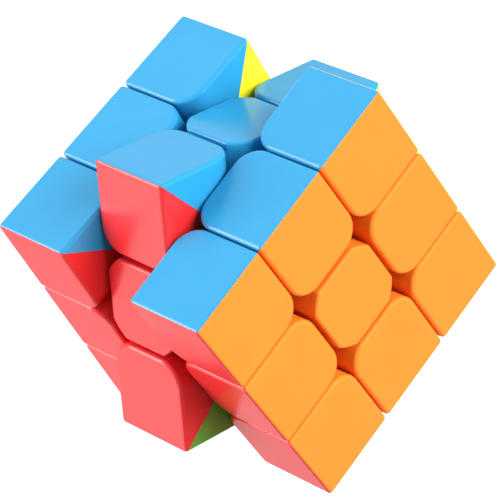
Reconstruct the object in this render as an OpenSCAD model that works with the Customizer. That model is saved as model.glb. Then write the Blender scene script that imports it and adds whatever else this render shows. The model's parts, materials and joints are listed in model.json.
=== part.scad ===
// Twisty puzzle cube, 3 x 3 x 3, stickerless, with its middle slice part way through a turn.
// Every turning piece is a foot, a stalk and hollow coloured shells that meet on mitred edges.
// The foot of an edge is held under the lips of two centres, and the foot of a corner under three edges.
// Each centre rides on a spring under the head of a screw in the six-armed core.
// Pieces are drawn about the centre of the cube, then lifted so that the resting face is at z = 0.

/* [Cube] */
// Edge length of the closed cube
cube_edge = 56; // [55:0.5:58]
// Gap between two pieces that move past each other
piece_gap = 0.3; // [0.2:0.05:0.4]
// Seam between two parts that are fixed together in one piece
seam = 0.04; // [0.02:0.01:0.08]

/* [Turned layers] */
// Turn of the middle slice, with the core, from the orange layer
slice_turn = -31.5; // [-45:0.5:45]
// Turn of the white layer from the orange layer
white_turn = -4.2; // [-20:0.1:20]

/* [Coloured shells] */
// Wall thickness of the hollow shells
shell_wall = 1.2; // [1:0.1:1.4]
// Rounding of the tile corners where four tiles meet
tile_round = 5; // [4.5:0.25:5.5]
// Gap between a centre tile and the edge tiles beside it
center_gap = 0.9; // [0.7:0.1:1.2]
// Length that the cut corner takes from each side of a centre tile
center_cut = 3.5; // [3:0.25:4]
// Thickness of the top of a centre cap
cap_top = 1.6; // [1.2:0.1:2]

/* [Feet and tracks] */
// Distance from the middle of the cube to the inside of a layer's round track
track_start = 6; // [5.9:0.1:6.2]
// Radius of a layer's round track
track_radius = 16; // [15.5:0.25:16.5]
// Radius of the ball-shaped hollow that the feet leave round the core
core_room = 9.6; // [9:0.1:10]
// Distance from the middle of the cube to the rounded outer side of the feet
foot_reach = 16.8; // [16.4:0.1:17]
// Radius of the stalk that joins a foot to its shells
stalk_radius = 3.2; // [3:0.1:3.4]
// Distance from the middle of the cube to the end of a stalk
stalk_reach = 24; // [22:0.5:26]

/* [Core and centres] */
// Radius of the ball in the middle of the core
core_radius = 5.8; // [5.5:0.1:5.8]
// Radius of each arm of the core
arm_radius = 3.4; // [3.2:0.1:3.5]
// Distance from the middle of the cube to the end of an arm
arm_reach = 8; // [7.5:0.1:8]
// Thickness of the floor that the spring presses on
floor_thickness = 1.6; // [1.4:0.1:1.8]
// Radius of the spring pocket in a centre
pocket_radius = 3.7; // [3.6:0.05:3.8]
// Radius of the wide hollow under a centre cap
hollow_radius = 5.6; // [5.4:0.1:6]
// Distance from the middle of the cube to the floor of the wide hollow
hollow_start = 19; // [18.5:0.25:20]
// Depth of the ring that holds a cap in its centre
cap_ring_depth = 3; // [2.5:0.25:3.5]
// Wall of the ring that holds a cap in its centre
cap_ring_wall = 1; // [0.8:0.1:1.2]

/* [Screws and springs] */
// Radius of a tension screw's shank
screw_radius = 1.25; // [1.2:0.05:1.3]
// Distance from the middle of the cube to the tip of a screw
screw_tip = 3.2; // [2.8:0.1:3.6]
// Radius of a screw's head
head_radius = 2.6; // [2.4:0.1:2.8]
// Height of a screw's head
head_height = 1.8; // [1.6:0.1:2]
// Width of the cross recess in a screw's head
recess_width = 0.7; // [0.6:0.1:0.8]
// Length of the cross recess in a screw's head
recess_length = 3; // [2.6:0.1:3.2]
// Depth of the cross recess in a screw's head
recess_depth = 1; // [0.8:0.1:1.2]
// Radius of the washer under a screw's head
washer_radius = 3.3; // [3.2:0.05:3.4]
// Thickness of the washer under a screw's head
washer_thickness = 0.5; // [0.4:0.1:0.6]
// Length of a fitted spring
spring_length = 5.9; // [5.5:0.1:6.2]
// Radius of the middle of a spring's wire round its axis
spring_radius = 2.7; // [2.6:0.05:2.75]
// Diameter of a spring's wire
spring_wire = 0.6; // [0.5:0.05:0.65]
// Number of turns in a spring
spring_turns = 5; // [4:1:6]

/* [Hidden] */
$fn = 64;
half = cube_edge / 2;
third = cube_edge / 6;
clear = piece_gap / 2;
reach = 2 * cube_edge;
slack = 0.03;
arm_gap = 0.2;
rest_gap = 0.05;
shank_room = 0.25;
washer_room = 0.15;
stalk_start = core_room + 2;
shell_base = third + clear;
tile_width = 2 * (third - clear);
center_half = third + clear - center_gap;
floor_top = arm_reach + arm_gap + floor_thickness;
spring_base = floor_top + rest_gap;
washer_base = spring_base + spring_length + rest_gap;
head_base = washer_base + washer_thickness;
cap_base = half - cap_top;
diagonal_tilt = acos(1 / sqrt(3));
wire_sides = 8;
turn_steps = 16;

// The four side colours in order round the vertical axis, from +X, and the colours of the two ends
SIDES = ["red", "green", "yellow", "blue"];
ENDS = ["orange", "white"];
FACES = concat(SIDES, ENDS);
PAINTS = ["tomato", "yellowgreen", "yellow", "deepskyblue", "orange", "whitesmoke"];
TILTS = [[0, 90, 0], [0, 90, 90], [0, 90, 180], [0, 90, 270], [0, 0, 0], [180, 0, 0]];
CORE_PAINT = "gray";
STEEL = "silver";

// An edge of the slice is named after its two sides, in their order round the axis
function slice_edge_name(edge) = str("slice_", SIDES[edge], "_", SIDES[(edge + 1) % 4], "_edge");
function slice_shell_name(edge, side) = str(slice_edge_name(edge), "_", SIDES[side % 4], "_shell");

function paint_of(end) = PAINTS[end == "orange" ? 4 : 5];

// ---- Spaces: which part of the cube belongs to which piece ----

// Space that turns with the layer on +Z: a slab and the round track under it
module layer_space(grow) {
    translate([-reach, -reach, third - grow]) cube([2 * reach, 2 * reach, reach]);
    translate([0, 0, track_start - grow]) cylinder(r = track_radius + grow, h = cube_edge);
}

// Space of the corner piece on +X +Y +Z
module corner_space() {
    intersection() {
        cube(half);
        layer_space(-clear);
        rotate([0, 90, 0]) layer_space(-clear);
        rotate([-90, 0, 0]) layer_space(-clear);
    }
}

// Space of the edge piece on +X +Z
module edge_space() {
    difference() {
        intersection() {
            translate([0, -half, 0]) cube([half, cube_edge, half]);
            layer_space(-clear);
            rotate([0, 90, 0]) layer_space(-clear);
        }
        rotate([90, 0, 0]) layer_space(clear);
        rotate([-90, 0, 0]) layer_space(clear);
    }
}

// Space of the centre piece on +Z
module center_space() {
    difference() {
        layer_space(-clear);
        for (turn = [0:90:270]) rotate([0, 90, turn]) layer_space(clear);
    }
}

// Everything above the plane z = half a seam, tilted by the caller
module upper_side() {
    translate([-reach, -reach, seam / 2]) cube([2 * reach, 2 * reach, reach]);
}

// ---- Blocks: the outer form of the coloured shells, or of the hollow inside them ----

// Square with one round corner at its origin
module one_round_square(size, round) {
    translate([round, 0]) square([size - round, size]);
    translate([0, round]) square([size, size - round]);
    translate([round, round]) circle(round);
}

// Rectangle from x = 0, centred on y = 0, with its two corners at x = 0 rounded
module two_round_tile(height, width, round) {
    translate([round, -width / 2]) square([height - round, width]);
    translate([0, round - width / 2]) square([height, width - 2 * round]);
    for (side = [-1, 1]) translate([round, side * (width / 2 - round)]) circle(round);
}

// Column over the tile of a corner piece, set in from all its sides
module corner_column(inset) {
    low = shell_base + inset;
    size = half - shell_base - 2 * inset;
    translate([low, low, low]) linear_extrude(size) one_round_square(size, tile_round - inset);
}

// Outer block of a corner piece: the columns of its three tiles, crossed
module corner_block(inset) {
    intersection() {
        corner_column(inset);
        rotate([90, 0, 90]) corner_column(inset);
        rotate([0, -90, -90]) corner_column(inset);
    }
}

// Column over the top tile of the edge piece on +X +Z
module edge_column(inset) {
    low = shell_base + inset;
    size = half - shell_base - 2 * inset;
    translate([low, 0, low]) linear_extrude(size)
        two_round_tile(size, tile_width - 2 * inset, tile_round - inset);
}

// Outer block of the edge piece on +X +Z: its two tiles' columns and its round inner edge, crossed
module edge_block(inset) {
    low = shell_base + inset;
    size = half - shell_base - 2 * inset;
    width = tile_width - 2 * inset;
    intersection() {
        edge_column(inset);
        rotate([180, -90, 0]) edge_column(inset);
        translate([low, width / 2, low]) rotate([90, 0, 0]) linear_extrude(width)
            one_round_square(size, tile_round - inset);
    }
}

// ---- Single pieces, each drawn on +Z, +X +Z or +X +Y +Z ----

module corner_stalk(grow) {
    rotate([0, diagonal_tilt, 45]) translate([0, 0, stalk_start])
        cylinder(r = stalk_radius + grow, h = stalk_reach - stalk_start);
}

module edge_stalk(grow) {
    rotate([0, 45, 0]) translate([0, 0, stalk_start])
        cylinder(r = stalk_radius + grow, h = stalk_reach - stalk_start);
}

// Shell that carries the top tile of a corner piece
module corner_shell() {
    difference() {
        intersection() {
            corner_block(0);
            rotate([0, -45, 0]) upper_side();
            rotate([45, 0, 0]) upper_side();
        }
        corner_block(shell_wall);
        corner_stalk(slack);
    }
}

// Shell that carries the top tile of an edge piece
module edge_shell() {
    difference() {
        intersection() {
            edge_block(0);
            edge_space();
            rotate([0, -45, 0]) upper_side();
        }
        edge_block(shell_wall);
        edge_stalk(slack);
    }
}

module corner_foot() {
    intersection() {
        corner_space();
        union() {
            difference() {
                sphere(foot_reach);
                sphere(core_room);
                corner_block(-seam);
            }
            corner_stalk(0);
        }
    }
}

module edge_foot() {
    intersection() {
        edge_space();
        union() {
            difference() {
                sphere(foot_reach);
                sphere(core_room);
                edge_block(-seam);
            }
            edge_stalk(0);
        }
    }
}

// Outline of a centre tile: a square whose corners are cut by one large circle
module center_outline(inset) {
    intersection() {
        square(2 * (center_half - inset), center = true);
        circle(norm([center_half, center_half - center_cut]) - inset);
    }
}

module center_base() {
    difference() {
        intersection() {
            center_space();
            linear_extrude(cap_base - seam) center_outline(0);
        }
        cylinder(r = arm_radius + clear, h = arm_reach + arm_gap);
        cylinder(r = screw_radius + shank_room, h = half);
        translate([0, 0, floor_top]) cylinder(r = pocket_radius, h = half);
        translate([0, 0, hollow_start]) cylinder(r = hollow_radius, h = half);
    }
}

module center_cap() {
    ring_radius = hollow_radius - slack;
    translate([0, 0, cap_base]) linear_extrude(cap_top) center_outline(0);
    translate([0, 0, cap_base - cap_ring_depth]) difference() {
        cylinder(r = ring_radius, h = cap_ring_depth + seam);
        cylinder(r = ring_radius - cap_ring_wall, h = cap_ring_depth);
    }
}

module core_body() {
    difference() {
        union() {
            sphere(core_radius);
            for (tilt = TILTS) rotate(tilt) cylinder(r = arm_radius, h = arm_reach);
        }
        for (tilt = TILTS) rotate(tilt) translate([0, 0, screw_tip - arm_gap])
            cylinder(r = screw_radius + slack, h = arm_reach);
    }
}

module tension_screw() {
    difference() {
        union() {
            translate([0, 0, screw_tip]) cylinder(r = screw_radius, h = head_base - screw_tip + rest_gap);
            translate([0, 0, head_base]) cylinder(r = head_radius, h = head_height);
        }
        for (turn = [0, 90]) rotate([0, 0, turn])
            translate([-recess_length / 2, -recess_width / 2, head_base + head_height - recess_depth])
                cube([recess_length, recess_width, recess_depth + 1]);
    }
}

module screw_washer() {
    translate([0, 0, washer_base]) difference() {
        cylinder(r = washer_radius, h = washer_thickness - slack);
        translate([0, 0, -1]) cylinder(r = screw_radius + washer_room, h = washer_thickness + 2);
    }
}

// One ring of points round the wire of a spring at a step along its turns
function wire_ring(step, steps) = [
    for (corner = [0:wire_sides - 1])
        let (
            swing = 360 * step / turn_steps,
            lean = 360 * corner / wire_sides,
            out = spring_radius + spring_wire / 2 * cos(lean),
            up = spring_wire / 2 + (spring_length - spring_wire) * step / steps
        )
        [out * cos(swing), out * sin(swing), up + spring_wire / 2 * sin(lean)]
];

module center_spring() {
    steps = spring_turns * turn_steps;
    points = [for (step = [0:steps]) each wire_ring(step, steps)];
    last = steps * wire_sides;
    walls = [
        for (step = [0:steps - 1], corner = [0:wire_sides - 1])
            let (low = step * wire_sides, next = (corner + 1) % wire_sides)
            [low + corner, low + next, low + wire_sides + next, low + wire_sides + corner]
    ];
    start_cap = [[for (corner = [wire_sides - 1:-1:0]) corner]];
    end_cap = [[for (corner = [0:wire_sides - 1]) last + corner]];
    translate([0, 0, spring_base]) polyhedron(points, concat(walls, start_cap, end_cap), convexity = 8);
}

// ---- Places: each layer with its turn, lifted onto the resting face ----

module in_slice() {
    translate([0, 0, half]) rotate([0, 0, slice_turn]) children();
}

module in_layer(end) {
    if (end == "orange") translate([0, 0, half]) children();
    if (end == "white") translate([0, 0, half]) rotate([0, 0, white_turn]) mirror([0, 0, 1]) children();
}

// A centre piece turns with its own layer, or with the slice when it faces a side
module in_center(face) {
    if (face < 4) in_slice() rotate(TILTS[face]) children();
    if (face >= 4) in_layer(FACES[face]) children();
}

// The edge between side number edge and the next side, its spine along Z
module in_slice_edge(edge) {
    in_slice() rotate([0, 0, 90 * edge]) rotate([-90, 0, 0]) children();
}

// ---- Nodes ----

core();
tension_screws();
screw_washers();
for (face = [0:5]) {
    face_center_base(face);
    face_center_cap(face);
    face_center_spring(face);
}
for (side = [0:3]) {
    slice_edge_foot(side);
    slice_near_shell(side);
    slice_far_shell(side);
}
for (end = ENDS) {
    end_edge_shells(end);
    end_corner_shells(end);
    layer_edge_feet(end);
    layer_corner_feet(end);
    for (side = [0:3]) {
        side_edge_shell(end, side);
        side_corner_shells(end, side);
    }
}

module core() {
    color(CORE_PAINT) in_slice() core_body();
}

module tension_screws() {
    color(STEEL) in_slice() for (tilt = TILTS) rotate(tilt) tension_screw();
}

module screw_washers() {
    color(STEEL) in_slice() for (tilt = TILTS) rotate(tilt) screw_washer();
}

module slice_edge_foot(edge) {
    color(PAINTS[edge]) in_slice_edge(edge) edge_foot();
}

module face_center_base(face) {
    color(PAINTS[face]) in_center(face) center_base();
}

module face_center_cap(face) {
    color(PAINTS[face]) in_center(face) center_cap();
}

module face_center_spring(face) {
    color(STEEL) in_slice() rotate(TILTS[face]) center_spring();
}

// Shell of a slice edge on the side that the edge is named after first
module slice_near_shell(side) {
    color(PAINTS[side]) in_slice_edge(side) rotate([0, 90, 0]) mirror([1, 0, 0]) edge_shell();
}

// Shell of a slice edge on the next side
module slice_far_shell(side) {
    color(PAINTS[(side + 1) % 4]) in_slice_edge(side) edge_shell();
}

module end_edge_shells(end) {
    color(paint_of(end)) in_layer(end) for (turn = [0:90:270]) rotate([0, 0, turn]) edge_shell();
}

module end_corner_shells(end) {
    color(paint_of(end)) in_layer(end) for (turn = [0:90:270]) rotate([0, 0, turn]) corner_shell();
}

module layer_edge_feet(end) {
    color(paint_of(end)) in_layer(end) for (turn = [0:90:270]) rotate([0, 0, turn]) edge_foot();
}

module layer_corner_feet(end) {
    color(paint_of(end)) in_layer(end) for (turn = [0:90:270]) rotate([0, 0, turn]) corner_foot();
}

module side_edge_shell(end, side) {
    color(PAINTS[side]) in_layer(end) rotate([0, 0, 90 * side]) mirror([1, 0, -1]) edge_shell();
}

// The two corner shells of one side: one from the corner after it, one from the corner before
module side_corner_shells(end, side) {
    color(PAINTS[side]) in_layer(end) {
        rotate([0, 0, 90 * side]) rotate([90, 0, 90]) corner_shell();
        rotate([0, 0, 90 * side - 90]) rotate([0, -90, -90]) corner_shell();
    }
}
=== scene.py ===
import json
import math

import bmesh
import bpy
from mathutils import Matrix, Vector


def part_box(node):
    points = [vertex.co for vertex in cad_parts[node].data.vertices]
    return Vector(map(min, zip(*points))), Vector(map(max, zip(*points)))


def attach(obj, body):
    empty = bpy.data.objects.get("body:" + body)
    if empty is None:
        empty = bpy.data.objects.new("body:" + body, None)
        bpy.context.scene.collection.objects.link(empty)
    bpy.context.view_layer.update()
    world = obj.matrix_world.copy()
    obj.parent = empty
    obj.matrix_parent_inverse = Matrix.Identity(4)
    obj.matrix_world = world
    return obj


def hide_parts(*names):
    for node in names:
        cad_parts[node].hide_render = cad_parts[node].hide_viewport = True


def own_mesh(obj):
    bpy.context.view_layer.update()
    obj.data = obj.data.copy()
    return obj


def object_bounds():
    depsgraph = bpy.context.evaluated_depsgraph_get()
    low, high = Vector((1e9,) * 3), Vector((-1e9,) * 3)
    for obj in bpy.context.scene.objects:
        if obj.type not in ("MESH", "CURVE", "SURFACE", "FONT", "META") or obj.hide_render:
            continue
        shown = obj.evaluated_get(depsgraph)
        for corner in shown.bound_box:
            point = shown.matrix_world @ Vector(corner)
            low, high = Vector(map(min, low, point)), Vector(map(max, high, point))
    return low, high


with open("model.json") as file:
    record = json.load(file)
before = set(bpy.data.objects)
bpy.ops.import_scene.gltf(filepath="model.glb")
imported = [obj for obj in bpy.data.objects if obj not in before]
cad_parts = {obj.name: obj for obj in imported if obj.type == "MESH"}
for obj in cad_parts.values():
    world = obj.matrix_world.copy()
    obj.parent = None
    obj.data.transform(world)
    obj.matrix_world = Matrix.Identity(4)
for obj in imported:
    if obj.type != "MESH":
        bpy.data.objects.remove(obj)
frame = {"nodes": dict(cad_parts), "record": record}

cad_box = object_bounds()

# ---------------------------------------------------------------- sizes, mostly in millimetres
MM = 0.001
HALF = (cad_box[1].z - cad_box[0].z) / MM / 2
THIRD = HALF / 3
TILE_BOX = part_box("orange_layer_blue_edge_shell")
TILE_WIDTH = (TILE_BOX[1].x - TILE_BOX[0].x) / MM
SHELL_BASE = 2 * THIRD - TILE_WIDTH / 2       # inner walls of the outer layers' blocks
CAP_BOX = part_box("orange_center_cap")
CENTER_HALF = (CAP_BOX[1].x - CAP_BOX[0].x) / MM / 2
CENTER_CUT = 3.5
CAP_TOP = 1.6
CAP_RING = (5.57, 4.57, 3.0)                  # outer radius, inner radius, depth
TILE_ROUND = 5.0
WALL = 1.2
SEAM = 0.02                                   # between two shells of one piece
STALK_RADIUS = 3.23
STALK_RANGE = (11.6, 24.0)
STALK_SIDES = 48
RING_SIDES = 60
RING_BITE = 0.2                               # how far the ring reaches into the cap
TILE_FILLET = 0.85                            # edge of a tile beside a gap
RIM_FILLET = 0.7                              # edge that two tiles share
CAP_FILLET = 0.6
SEAM_FILLET = 0.02
OUTER_WALL = SHELL_BASE + 2                   # seam edges past here are on the outside
SPRING_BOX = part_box("orange_center_spring")
SPRING_BASE = SPRING_BOX[0].z / MM - HALF
SPRING_TOP = SPRING_BOX[1].z / MM - HALF
SPRING_OUTER = (SPRING_BOX[1].x - SPRING_BOX[0].x) / MM / 2
SPRING_WIRE = 0.6
SPRING_TURNS = 5.0
CLOSED_TURNS = 0.9                            # at each end of a spring
TURN_STEPS = 40
WIRE_SIDES = 12
ARC_STEPS = 14
FILLET_STEPS = 5
CENTER_STEPS = 8                              # along each cut corner of a centre
BEYOND = 4.0                                  # how far a cutter reaches past its block
WELD = 1e-4                                   # points nearer than this are one point
FLAT_ANGLE = 0.4                              # degrees between faces that count as one plane
SHARP_ANGLE = 35                              # degrees from which an edge is shaded as sharp
SAME_WAY = 0.999                              # cosine from which two directions count as one
ON_PLANE = 0.01                               # how near a tile's plane a face must lie
CAMERA_ANGLES = (20.06, 41.78, 113.25)        # azimuth, elevation and roll, in degrees
CAMERA_DISTANCE = 562.9
CAMERA_LENS = 213.5
CAMERA_ASIDE = Vector((-0.13, 0.47, 0))       # from the line to the cube's middle, right and up
CAMERA_SENSOR = 36                            # width of its sensor
CAMERA_NEAR = 0.01                            # nearest distance it sees, in metres
FLOOR_SIZE = 4.0                              # in metres
FLOOR_GREY = 0.55
FLOOR_GLOW = 0.9
SKY_BELOW = 0.6
SKY_ABOVE = 0.34
HORIZON = (0.42, 0.55)                        # the sky's change of grey, from 0 below to 1 above
KEY_WAY = (0.54, -0.52, -0.667)               # from the cube to the key light

SIDES = ["red", "green", "yellow", "blue"]    # +X, +Y, -X and -Y of a layer that isn't turned
ENDS = {"orange": 1, "white": -1}
CENTER = Vector((0, 0, HALF))


def compass(quarter):
    """Unit vector of a side, counted in quarter turns from +X."""
    return Vector([(1, 0, 0), (0, 1, 0), (-1, 0, 0), (0, -1, 0)][quarter % 4])


def turn_of(node, side):
    """How far a layer is turned: from the outward normal of a side tile's largest flat face."""
    area = {}
    for face in frame["nodes"][node].data.polygons:
        key = tuple(round(value, 3) for value in face.normal)
        area[key] = area.get(key, 0) + face.area
    normal = Vector(max(area, key=area.get))
    flat = compass(side)
    return math.atan2(flat.cross(normal).z, flat.dot(normal))


TURN = {
    "orange": turn_of("orange_layer_blue_edge_shell", 3),
    "white": turn_of("white_layer_blue_edge_shell", 3),
    "slice": turn_of("blue_center_cap", 3),
}


# ---------------------------------------------------------------- solids
def new_object(name, bm):
    mesh = bpy.data.meshes.new(name)
    bm.to_mesh(mesh)
    bm.free()
    made = bpy.data.objects.new(name, mesh)
    bpy.context.scene.collection.objects.link(made)
    return made


def prism(outline, low, high, place=Matrix.Identity(4)):
    """Solid under a closed outline, from low to high along Z, then placed."""
    bm = bmesh.new()
    bottom = [bm.verts.new((x, y, low)) for x, y in outline]
    top = [bm.verts.new((x, y, high)) for x, y in outline]
    bm.faces.new(reversed(bottom))
    bm.faces.new(top)
    for i in range(len(outline)):
        j = (i + 1) % len(outline)
        bm.faces.new((bottom[i], bottom[j], top[j], top[i]))
    bmesh.ops.transform(bm, matrix=place, verts=bm.verts)
    bmesh.ops.recalc_face_normals(bm, faces=bm.faces)
    return new_object("prism", bm)


def arc(middle, radius, start, end, steps=ARC_STEPS):
    return [
        (middle[0] + radius * math.cos(math.radians(start + (end - start) * i / steps)),
         middle[1] + radius * math.sin(math.radians(start + (end - start) * i / steps)))
        for i in range(steps + 1)
    ]


def circle(radius, sides):
    return arc((0, 0), radius, 0, 360 - 360 / sides, sides - 1)


def baked(obj):
    """Replaces an object's mesh by the result of its modifiers."""
    graph = bpy.context.evaluated_depsgraph_get()
    graph.update()
    mesh = bpy.data.meshes.new_from_object(obj.evaluated_get(graph))
    obj.modifiers.clear()
    obj.data = mesh
    return obj


def combine(target, tool, operation):
    modifier = target.modifiers.new("combine", "BOOLEAN")
    modifier.operation = operation
    modifier.solver = "EXACT"
    modifier.object = tool
    baked(target)
    bpy.data.objects.remove(tool)
    return target


def axes(x, y, z):
    """Rotation that takes +X, +Y and +Z to three directions."""
    return Matrix((x, y, z)).transposed().to_4x4()


X, Y, Z = Vector((1, 0, 0)), Vector((0, 1, 0)), Vector((0, 0, 1))


def round_cutter(low, radius, length, place):
    """What a rounding takes away along an edge that stands on (low, low)."""
    past = low - BEYOND
    outline = [(past, past), (low + radius, past)]
    outline += arc((low + radius, low + radius), radius, 270, 180)
    outline += [(past, low + radius)]
    return prism(outline, length[0], length[1], place)


def corner_block(inset):
    low, high = SHELL_BASE + inset, HALF - inset
    block = prism([(low, low), (high, low), (high, high), (low, high)], low, high)
    length = (low - BEYOND, high + BEYOND)
    for place in (axes(X, Y, Z), axes(Y, Z, X), axes(Z, X, Y)):
        combine(block, round_cutter(low, TILE_ROUND - inset, length, place), "DIFFERENCE")
    return block


def edge_block(inset):
    low, high, wide = SHELL_BASE + inset, HALF - inset, TILE_WIDTH / 2 - inset
    block = prism([(low, -wide), (high, -wide), (high, wide), (low, wide)], low, high)
    radius = TILE_ROUND - inset
    spine = (-wide - BEYOND, wide + BEYOND)
    combine(block, round_cutter(low, radius, spine, axes(Z, X, Y)), "DIFFERENCE")
    length = (low - BEYOND, high + BEYOND)
    for side in (-1, 1):
        shift = Matrix.Translation((0, -side * (wide + low), 0))
        upright = axes(X, Y * side, Z * side)
        lying = axes(Z, Y * side, X * -side)
        for place in (upright, lying):
            span = length if place.col[2].to_3d().dot(X + Z) > 0 else (-length[1], -length[0])
            cutter = round_cutter(low, radius, span, shift @ place)
            combine(block, cutter, "DIFFERENCE")
    return block


def ways_faced(face, ways):
    """Which of some directions a face looks in."""
    return [way for way in ways if face.normal.dot(way) > SAME_WAY]


def on_tile(face, tiles):
    middle = face.calc_center_median()
    return any(middle.dot(way) > HALF - ON_PLANE for way in ways_faced(face, tiles))


def filleted(block, tiles, fillet, rim):
    """Rounds the edges round each tile, and less so the edges that two tiles share."""
    bm = bmesh.new()
    bm.from_mesh(block.data)
    bmesh.ops.remove_doubles(bm, verts=bm.verts, dist=WELD)
    bmesh.ops.dissolve_limit(bm, angle_limit=math.radians(FLAT_ANGLE), verts=bm.verts, edges=bm.edges)
    bm.normal_update()
    weight = bm.edges.layers.float.new("bevel_weight_edge")
    for edge in bm.edges:
        count = sum(on_tile(face, tiles) for face in edge.link_faces)
        edge[weight] = (0.0, 1.0, rim / fillet)[count]
    bm.to_mesh(block.data)
    bm.free()
    bevel = block.modifiers.new("fillet", "BEVEL")
    bevel.limit_method = "WEIGHT"
    bevel.width = fillet
    bevel.segments = FILLET_STEPS
    bevel.use_clamp_overlap = False
    return baked(block)


def stalk(direction):
    tilt = Z.rotation_difference(direction).to_matrix().to_4x4()
    return prism(circle(STALK_RADIUS, STALK_SIDES), STALK_RANGE[0], STALK_RANGE[1], tilt)


def pyramid(sides):
    """Space nearer to the +Z tile than to the +X tile, and with two sides nearer than to +Y as well."""
    bm = bmesh.new()
    far, low = 2 * HALF, SEAM * math.sqrt(0.5)
    if sides == 2:
        tip = bm.verts.new((0, 0, low))
        base = [bm.verts.new((x, y, far + low)) for x, y in ((0, 0), (far, 0), (far, far), (0, far))]
        bm.faces.new(base)
        for i in range(4):
            bm.faces.new((tip, base[(i + 1) % 4], base[i]))
    else:
        corners = [(0, low), (far, far + low), (0, far + low)]
        near = [bm.verts.new((x, -far, z)) for x, z in corners]
        back = [bm.verts.new((x, far, z)) for x, z in corners]
        bm.faces.new(near)
        bm.faces.new(reversed(back))
        for i in range(3):
            j = (i + 1) % 3
            bm.faces.new((near[j], near[i], back[i], back[j]))
    bmesh.ops.recalc_face_normals(bm, faces=bm.faces)
    return new_object("pyramid", bm)


def seam_edges_rounded(shell, planes):
    """A fine fillet where a shell's mitred faces meet its outside."""
    bm = bmesh.new()
    bm.from_mesh(shell.data)
    bmesh.ops.remove_doubles(bm, verts=bm.verts, dist=WELD)
    bm.normal_update()
    chosen = []
    for edge in bm.edges:
        mitred = [bool(ways_faced(face, planes)) for face in edge.link_faces]
        reach = max(max(vert.co) for vert in edge.verts)
        if len(mitred) == 2 and mitred[0] != mitred[1] and reach > OUTER_WALL:
            chosen.append(edge)
    bmesh.ops.bevel(bm, geom=chosen, offset=SEAM_FILLET, segments=2, profile=0.5,
                    affect="EDGES", clamp_overlap=True)
    bm.to_mesh(shell.data)
    bm.free()


def corner_shell():
    shell = filleted(corner_block(0), (X, Y, Z), TILE_FILLET, RIM_FILLET)
    combine(shell, corner_block(WALL), "DIFFERENCE")
    combine(shell, stalk(X + Y + Z), "DIFFERENCE")
    return combine(shell, pyramid(2), "INTERSECT")


def edge_shell():
    shell = filleted(edge_block(0), (X, Z), TILE_FILLET, RIM_FILLET)
    combine(shell, edge_block(WALL), "DIFFERENCE")
    combine(shell, stalk(X + Z), "DIFFERENCE")
    return combine(shell, pyramid(1), "INTERSECT")


def center_outline():
    """A square whose corners are cut by one large circle."""
    radius = math.hypot(CENTER_HALF, CENTER_HALF - CENTER_CUT)
    lean = math.degrees(math.atan2(CENTER_HALF - CENTER_CUT, CENTER_HALF))
    points = []
    for corner in range(4):
        points += arc((0, 0), radius, 90 * corner + lean, 90 * corner + 90 - lean, CENTER_STEPS)
    return points


def center_cap():
    cap = prism(center_outline(), HALF - CAP_TOP, HALF)
    filleted(cap, (Z,), CAP_FILLET, RIM_FILLET)
    outer, inner, depth = CAP_RING
    under = HALF - CAP_TOP
    ring = prism(circle(outer, RING_SIDES), under - depth, under + RING_BITE)
    hole = prism(circle(inner, RING_SIDES), under - depth - 1, under)
    combine(ring, hole, "DIFFERENCE")
    return combine(cap, ring, "UNION")


def coil_height(turn):
    """Height of the wire's middle above the spring's foot: flat turns at both ends, open ones between."""
    start, end = SPRING_WIRE / 4, SPRING_TOP - SPRING_BASE - SPRING_WIRE / 4
    lead = CLOSED_TURNS * SPRING_WIRE
    if turn <= CLOSED_TURNS:
        return start + turn * SPRING_WIRE
    if turn >= SPRING_TURNS - CLOSED_TURNS:
        return end - (SPRING_TURNS - turn) * SPRING_WIRE
    share = (turn - CLOSED_TURNS) / (SPRING_TURNS - 2 * CLOSED_TURNS)
    return start + lead + share * (end - start - 2 * lead)


def coil_spring():
    """A compression spring on +Z with closed, ground ends."""
    bm = bmesh.new()
    radius, wire = SPRING_OUTER - SPRING_WIRE / 2, SPRING_WIRE / 2
    rings = []
    for step in range(int(SPRING_TURNS * TURN_STEPS) + 1):
        turn = step / TURN_STEPS
        swing = 2 * math.pi * turn
        ring = []
        for side in range(WIRE_SIDES):
            lean = 2 * math.pi * side / WIRE_SIDES
            out = radius + wire * math.cos(lean)
            height = SPRING_BASE + coil_height(turn) + wire * math.sin(lean)
            height = min(max(height, SPRING_BASE), SPRING_TOP)
            ring.append(bm.verts.new((out * math.cos(swing), out * math.sin(swing), height)))
        rings.append(ring)
    for ring, above in zip(rings, rings[1:]):
        for side in range(WIRE_SIDES):
            beside = (side + 1) % WIRE_SIDES
            bm.faces.new((ring[side], ring[beside], above[beside], above[side]))
    bm.faces.new(reversed(rings[0]))
    bm.faces.new(rings[-1])
    bmesh.ops.recalc_face_normals(bm, faces=bm.faces)
    return new_object("coil", bm)


# ---------------------------------------------------------------- materials
NOISE_RANGE = (0.3, 0.7)                      # where nearly all of a noise's values lie
PLASTIC_IOR = 1.52
CLOUDS = 140                                  # this and the next five: features per metre
POLISH = 420
FLOW = 90
GRAIN = 6000
STEEL_GRAIN = 2500
PATCHES = 300
FLOW_HEIGHT = 0.0002                          # in metres, as is the next
GRAIN_HEIGHT = 0.00001


def shader(name):
    material = bpy.data.materials.new(name)
    material.use_nodes = True
    nodes = material.node_tree.nodes
    return material, nodes, material.node_tree.links, nodes["Principled BSDF"]


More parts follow.
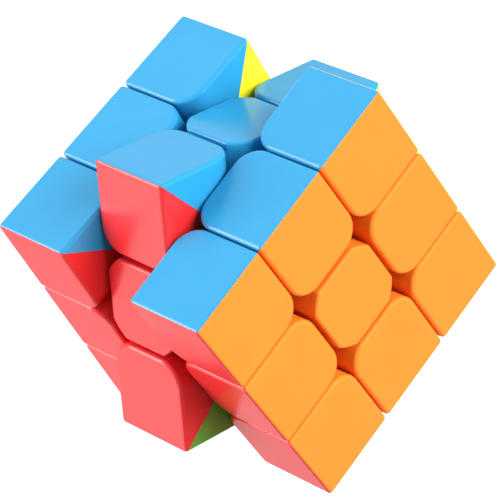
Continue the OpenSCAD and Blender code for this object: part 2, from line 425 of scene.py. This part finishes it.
def noise_node(nodes, links, scale, detail, rough=0.5, stretch=1):
    """Noise in the piece's own space, with its features drawn out along Z where stretch is under 1."""
    place = nodes.new("ShaderNodeTexCoord")
    noise = nodes.new("ShaderNodeTexNoise")
    noise.inputs["Scale"].default_value = scale
    noise.inputs["Detail"].default_value = detail
    noise.inputs["Roughness"].default_value = rough
    source = place.outputs["Object"]
    if stretch != 1:
        mapping = nodes.new("ShaderNodeMapping")
        mapping.inputs["Scale"].default_value = (1, 1, stretch)
        links.new(source, mapping.inputs["Vector"])
        source = mapping.outputs["Vector"]
    links.new(source, noise.inputs["Vector"])
    return noise


def spread(nodes, links, source, low, high):
    """Maps a noise's useful range onto low to high."""
    mapping = nodes.new("ShaderNodeMapRange")
    mapping.inputs["From Min"].default_value = NOISE_RANGE[0]
    mapping.inputs["From Max"].default_value = NOISE_RANGE[1]
    mapping.inputs["To Min"].default_value = low
    mapping.inputs["To Max"].default_value = high
    links.new(source.outputs["Fac"], mapping.inputs["Value"])
    return mapping


def bump_node(nodes, links, source, distance, strength, under=None):
    bump = nodes.new("ShaderNodeBump")
    bump.inputs["Distance"].default_value = distance
    bump.inputs["Strength"].default_value = strength
    links.new(source.outputs["Fac"], bump.inputs["Height"])
    if under:
        links.new(under.outputs["Normal"], bump.inputs["Normal"])
    return bump


def drifting_colour(nodes, links, surface, noise, dark, light):
    mix = nodes.new("ShaderNodeMix")
    mix.data_type = "RGBA"
    mix.inputs["A"].default_value = (*dark, 1)
    mix.inputs["B"].default_value = (*light, 1)
    links.new(spread(nodes, links, noise, 0, 1).outputs["Result"], mix.inputs["Factor"])
    links.new(mix.outputs["Result"], surface.inputs["Base Color"])


def uneven_polish(nodes, links, surface, noise, low, high):
    links.new(spread(nodes, links, noise, low, high).outputs["Result"], surface.inputs["Roughness"])


def moulded_plastic(name, colour, roughness=0.2, grain=0.1):
    """Satin moulded plastic: cloudy colour, uneven polish, a soft flow and a fine spark-eroded grain."""
    material, nodes, links, surface = shader(name)
    dark = [channel * 0.98 for channel in colour]
    light = [min(1, channel * 1.01 + 0.001) for channel in colour]
    drifting_colour(nodes, links, surface, noise_node(nodes, links, CLOUDS, 3), dark, light)
    polish = noise_node(nodes, links, POLISH, 4, 0.6)
    uneven_polish(nodes, links, surface, polish, roughness - 0.03, roughness + 0.04)
    flow = bump_node(nodes, links, noise_node(nodes, links, FLOW, 1), FLOW_HEIGHT, 0.05)
    fine = bump_node(nodes, links, noise_node(nodes, links, GRAIN, 2), GRAIN_HEIGHT, grain, flow)
    links.new(fine.outputs["Normal"], surface.inputs["Normal"])
    surface.inputs["IOR"].default_value = PLASTIC_IOR
    return material


def steel(name, colour, roughness, stretch=1):
    """Plated steel with a fine grain, which can be drawn out along Z."""
    material, nodes, links, surface = shader(name)
    noise = noise_node(nodes, links, STEEL_GRAIN, 3, stretch=stretch)
    uneven_polish(nodes, links, surface, noise, roughness - 0.08, roughness + 0.1)
    bump = bump_node(nodes, links, noise, GRAIN_HEIGHT, 0.4)
    links.new(bump.outputs["Normal"], surface.inputs["Normal"])
    dark = [channel * 0.9 for channel in colour]
    drifting_colour(nodes, links, surface, noise_node(nodes, links, PATCHES, 2), dark, colour)
    surface.inputs["Metallic"].default_value = 1.0
    return material


PLASTIC = {
    "red": (0.76, 0.026, 0.028),
    "green": (0.115, 0.38, 0.030),
    "yellow": (0.93, 0.84, 0.02),
    "blue": (0.026, 0.315, 0.60),
    "orange": (0.97, 0.25, 0.024),
    "white": (0.84, 0.84, 0.83),
}
MATERIALS = {}
for face_name, paint_colour in PLASTIC.items():
    MATERIALS[f"{face_name}_plastic"] = moulded_plastic(f"{face_name}_plastic", paint_colour)
MATERIALS["core_plastic"] = moulded_plastic("core_plastic", (0.05, 0.05, 0.055), 0.45, 0.6)
MATERIALS["screw_steel"] = steel("screw_steel", (0.62, 0.63, 0.65), 0.32)
MATERIALS["spring_steel"] = steel("spring_steel", (0.70, 0.71, 0.73), 0.25, 0.2)


# ---------------------------------------------------------------- pieces
def piece_from(model, name, place, body, node, slot_name):
    """A copy of a model solid, put in its place in the row frame, for one physical piece."""
    mesh = model.data.copy()
    mesh.transform(Matrix.Scale(MM, 4) @ Matrix.Translation(CENTER) @ place)
    mesh.name = name
    piece = bpy.data.objects.new(name, mesh)
    bpy.context.scene.collection.objects.link(piece)
    mesh.materials.clear()
    mesh.materials.append(MATERIALS[slot_name])
    mesh.shade_smooth()
    mesh.set_sharp_from_angle(angle=math.radians(SHARP_ANGLE))
    normals = piece.modifiers.new("normals", "WEIGHTED_NORMAL")
    normals.keep_sharp = True
    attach(piece, body)
    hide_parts(node)
    return piece


def layer_turn(layer):
    return Matrix.Rotation(TURN[layer], 4, "Z")


def corner_place(out, first, second):
    """Takes a model corner shell to the corner between three directions, its tile facing out."""
    if first.cross(second).dot(out) < 0:
        first, second = second, first
    return axes(first, second, out)


def edge_place(out, side):
    """Takes a model edge shell to the edge between two directions, its tile facing out."""
    return axes(side, out.cross(side), out)


def build_shells():
    corner, edge, cap = corner_shell(), edge_shell(), center_cap()
    seam_edges_rounded(corner, ((X - Z).normalized(), (Y - Z).normalized()))
    seam_edges_rounded(edge, ((X - Z).normalized(),))
    for end, sign in ENDS.items():
        body, out = f"{end}_layer", Z * sign
        turn = layer_turn(end)
        paint = f"{end}_plastic"
        for side, colour in enumerate(SIDES):
            way = compass(side)
            after, before = compass(side + 1), compass(side - 1)
            node = f"{end}_edge_shells"
            piece_from(edge, f"{node}_{colour}", turn @ edge_place(out, way), body, node, paint)
            node = f"{end}_corner_shells"
            name = f"{node}_{colour}_{SIDES[(side + 1) % 4]}"
            piece_from(corner, name, turn @ corner_place(out, way, after), body, node, paint)
            node = f"{end}_layer_{colour}_edge_shell"
            piece_from(edge, f"{node}_piece", turn @ edge_place(way, out), body, node, f"{colour}_plastic")
            node = f"{end}_layer_{colour}_corner_shells"
            for beside, word in ((after, "after"), (before, "before")):
                place = turn @ corner_place(way, beside, out)
                piece_from(corner, f"{node}_{word}", place, body, node, f"{colour}_plastic")
    turn = layer_turn("slice")
    for side, colour in enumerate(SIDES):
        way, after = compass(side), compass(side + 1)
        after_colour = SIDES[(side + 1) % 4]
        spine = f"slice_{colour}_{after_colour}_edge"
        for paint, place in ((colour, edge_place(way, after)), (after_colour, edge_place(after, way))):
            node = f"{spine}_{paint}_shell"
            piece_from(edge, f"{node}_piece", turn @ place, "middle_slice", node, f"{paint}_plastic")
        node = f"{colour}_center_cap"
        place = turn @ axes(after, Z, way)
        piece_from(cap, f"{node}_piece", place, f"{colour}_center", node, f"{colour}_plastic")
    for end, sign in ENDS.items():
        node = f"{end}_center_cap"
        place = layer_turn(end) @ axes(X, Y * sign, Z * sign)
        piece_from(cap, f"{node}_piece", place, f"{end}_center", node, f"{end}_plastic")
    for model in (corner, edge, cap):
        bpy.data.objects.remove(model)


def build_springs():
    model = coil_spring()
    turn = layer_turn("slice")
    ways = {colour: compass(side) for side, colour in enumerate(SIDES)}
    ways |= {end: Z * sign for end, sign in ENDS.items()}
    for face, way in ways.items():
        beside = Z if way.z == 0 else X
        place = turn @ axes(beside, way.cross(beside), way)
        node = f"{face}_center_spring"
        spring = piece_from(model, f"{node}_coil", place, "middle_slice", node, "spring_steel")
        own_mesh(spring)
    bpy.data.objects.remove(model)


def finish_cad_nodes():
    """The CAD nodes that stay get their material."""
    slots = {part["node"]: part["material_slot"] for part in frame["record"]["subparts"]}
    for name, node in frame["nodes"].items():
        if node.hide_render:
            continue
        node.data.materials.clear()
        node.data.materials.append(MATERIALS[slots[name]])


# ---------------------------------------------------------------- stage
def floor():
    """A glowing white ground that only the camera sees. No shadow shows on it, and it tints nothing."""
    material, nodes, links, surface = shader("floor")
    grain = noise_node(nodes, links, 900, 3)
    links.new(spread(nodes, links, grain, 0.55, 0.65).outputs["Result"], surface.inputs["Roughness"])
    surface.inputs["Base Color"].default_value = (FLOOR_GREY, FLOOR_GREY, FLOOR_GREY, 1)
    surface.inputs["Emission Color"].default_value = (1, 1, 1, 1)
    surface.inputs["Emission Strength"].default_value = FLOOR_GLOW
    bm = bmesh.new()
    bmesh.ops.create_grid(bm, x_segments=1, y_segments=1, size=FLOOR_SIZE / 2)
    made = new_object("floor", bm)
    made.data.materials.append(material)
    for rays in ("diffuse", "glossy", "transmission", "shadow"):
        setattr(made, f"visible_{rays}", False)


def area_light(name, towards, distance, size, radiance, diffuse=True, glossy=True):
    """A soft oval light that looks at the cube's middle, with its width and height as its size.

    Radiance 1 is a lit white card. Without gloss it lights the cube but isn't mirrored in it, and
    with gloss alone it is mirrored and lights nothing.
    """
    way = Vector(towards).normalized()
    light = bpy.data.lights.new(name, "AREA")
    light.shape = "ELLIPSE"
    light.size, light.size_y = size
    light.energy = radiance * math.pi ** 2 * size[0] * size[1] / 4
    made = bpy.data.objects.new(name, light)
    made.location = CENTER * MM + way * distance
    made.rotation_euler = way.to_track_quat("Z", "Y").to_euler()
    made.visible_camera = False
    made.visible_diffuse = diffuse
    made.visible_glossy = glossy
    bpy.context.scene.collection.objects.link(made)


def sky():
    """An even dome that is brighter below the horizon than above it."""
    world = bpy.data.worlds.new("studio")
    bpy.context.scene.world = world
    world.use_nodes = True
    nodes, links = world.node_tree.nodes, world.node_tree.links
    place = nodes.new("ShaderNodeTexCoord")
    split = nodes.new("ShaderNodeSeparateXYZ")
    links.new(place.outputs["Generated"], split.inputs["Vector"])
    ramp = nodes.new("ShaderNodeValToRGB")
    height = nodes.new("ShaderNodeMapRange")
    height.inputs["From Min"].default_value = -1
    links.new(split.outputs["Z"], height.inputs["Value"])
    links.new(height.outputs["Result"], ramp.inputs["Fac"])
    links.new(ramp.outputs["Color"], nodes["Background"].inputs["Color"])
    stops = ramp.color_ramp.elements
    for position in HORIZON:
        stops.new(position)
    for stop, grey in zip(stops, (SKY_BELOW, SKY_BELOW, SKY_ABOVE, SKY_ABOVE)):
        stop.color = (grey, grey, grey, 1)


def lights():
    """Soft light from all round: name, direction, distance, width and height, and radiance of each.

    The glint is nearer than the key, as two lights in one plane hide each other.
    """
    sky()
    area_light("key", KEY_WAY, 1.0, (1.15, 1.15), 5.2, glossy=False)
    area_light("glint", KEY_WAY, 0.9, (1.04, 0.2), 7, diffuse=False)
    area_light("top", (-0.45, -0.30, 0.84), 1.2, (1.1, 1.1), 9, glossy=False)
    area_light("side", (0.95, 0.25, -0.15), 1.2, (0.9, 0.9), 1.6)
    area_light("low_front", (-0.45, -0.45, -0.67), 1.0, (1.3, 1.3), 0.3)
    area_light("low_side", (0.80, 0.20, -0.60), 1.0, (0.8, 0.8), 0.9)


def camera():
    """A view onto the corner of the orange, blue and red sides, with the orange side on the right."""
    azimuth, elevation, roll = map(math.radians, CAMERA_ANGLES)
    data = bpy.data.cameras.new("camera")
    data.lens = CAMERA_LENS
    data.sensor_width = CAMERA_SENSOR
    data.clip_start = CAMERA_NEAR
    made = bpy.data.objects.new("camera", data)
    bpy.context.scene.collection.objects.link(made)
    level = math.cos(elevation)
    back = Vector((math.sin(azimuth) * level, -math.cos(azimuth) * level, math.sin(elevation)))
    turned = back.to_track_quat("Z", "Y").to_matrix() @ Matrix.Rotation(roll, 3, "Z")
    made.location = (CENTER + back * CAMERA_DISTANCE + turned @ CAMERA_ASIDE) * MM
    made.rotation_euler = turned.to_euler()
    bpy.context.scene.camera = made


bpy.context.scene.view_settings.view_transform = "Standard"
build_shells()
build_springs()
finish_cad_nodes()
floor()
lights()
camera()
